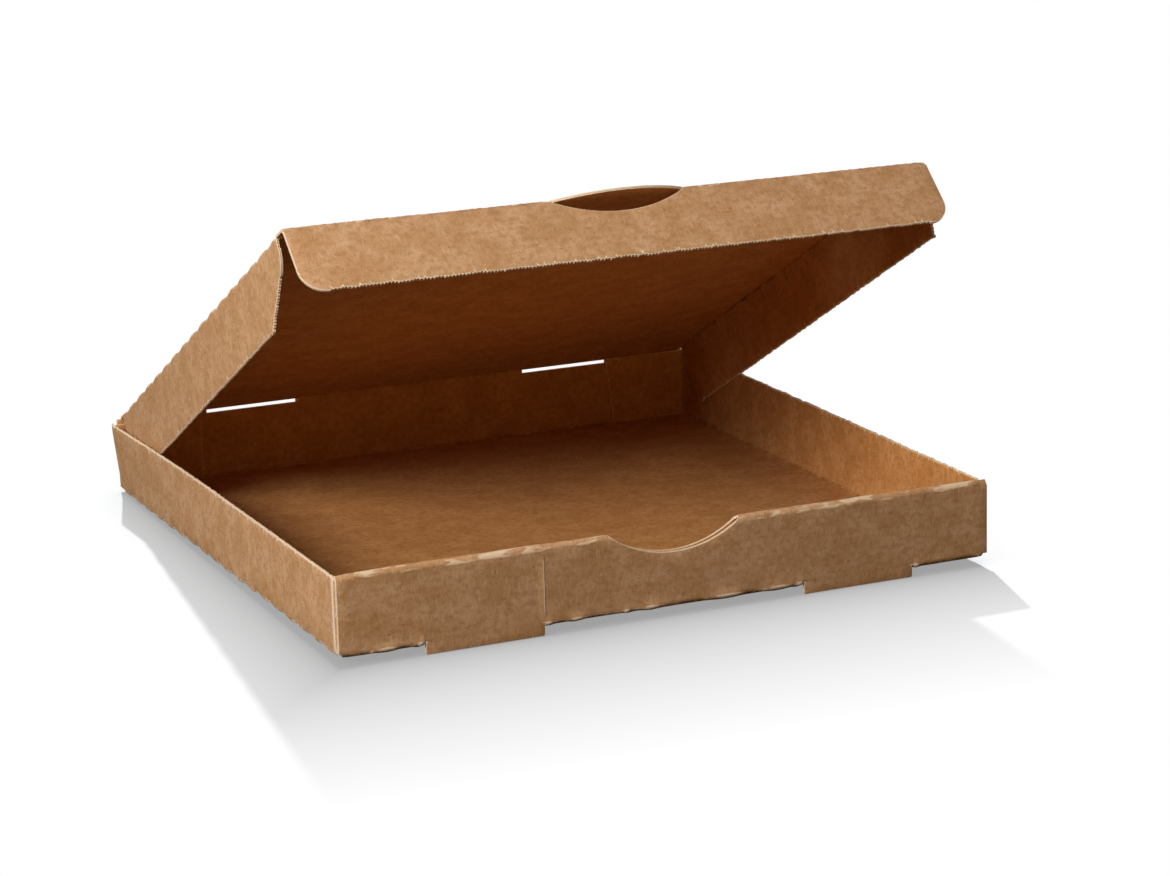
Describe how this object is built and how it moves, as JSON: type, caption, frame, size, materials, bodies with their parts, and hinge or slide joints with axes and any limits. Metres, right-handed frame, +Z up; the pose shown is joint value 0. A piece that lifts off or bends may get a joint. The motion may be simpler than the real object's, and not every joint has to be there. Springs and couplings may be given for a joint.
{
  "type": "pizza box",
  "caption": "Low square folding carton of kraft corrugated board with a roll-over front wall, thumb notch and a hinged lid with tuck flaps, standing half open.",
  "frame": {"origin": "centre of the base panel's underside", "axes": "+Z up, +Y towards the rear wall with the lid's crease, +X to the right seen from the front"},
  "size_m": [0.33, 0.33, 0.1919],
  "materials": {
    "kraft_board": "uncoated kraft liner, matt"
  },
  "bodies": {
    "tray": {"tray": "kraft_board"},
    "lid": {"lid": "kraft_board"},
    "lid_front_flap": {"lid_front_flap": "kraft_board"},
    "lid_left_flap": {"lid_left_flap": "kraft_board"},
    "lid_right_flap": {"lid_right_flap": "kraft_board"}
  },
  "joints": [
    {"name": "lid_hinge", "type": "hinge", "parent": "tray", "child": "lid", "pos_m": [0, 0.16425, 0.03925], "axis": [-1, 0, 0], "range_deg": [-27.7, 152.3]},
    {"name": "front_flap_crease", "type": "hinge", "parent": "lid", "child": "lid_front_flap", "pos_m": [0, -0.10933, 0.18288], "axis": [-1, 0, 0], "range_deg": [-20, 70]},
    {"name": "left_flap_crease", "type": "hinge", "parent": "lid", "child": "lid_left_flap", "pos_m": [-0.1614, 0.16378, 0.03837], "axis": [0, -0.8854, 0.4648], "range_deg": [0, 80]},
    {"name": "right_flap_crease", "type": "hinge", "parent": "lid", "child": "lid_right_flap", "pos_m": [0.1614, 0.16378, 0.03837], "axis": [0, 0.8854, -0.4648], "range_deg": [0, 80]}
  ]
}
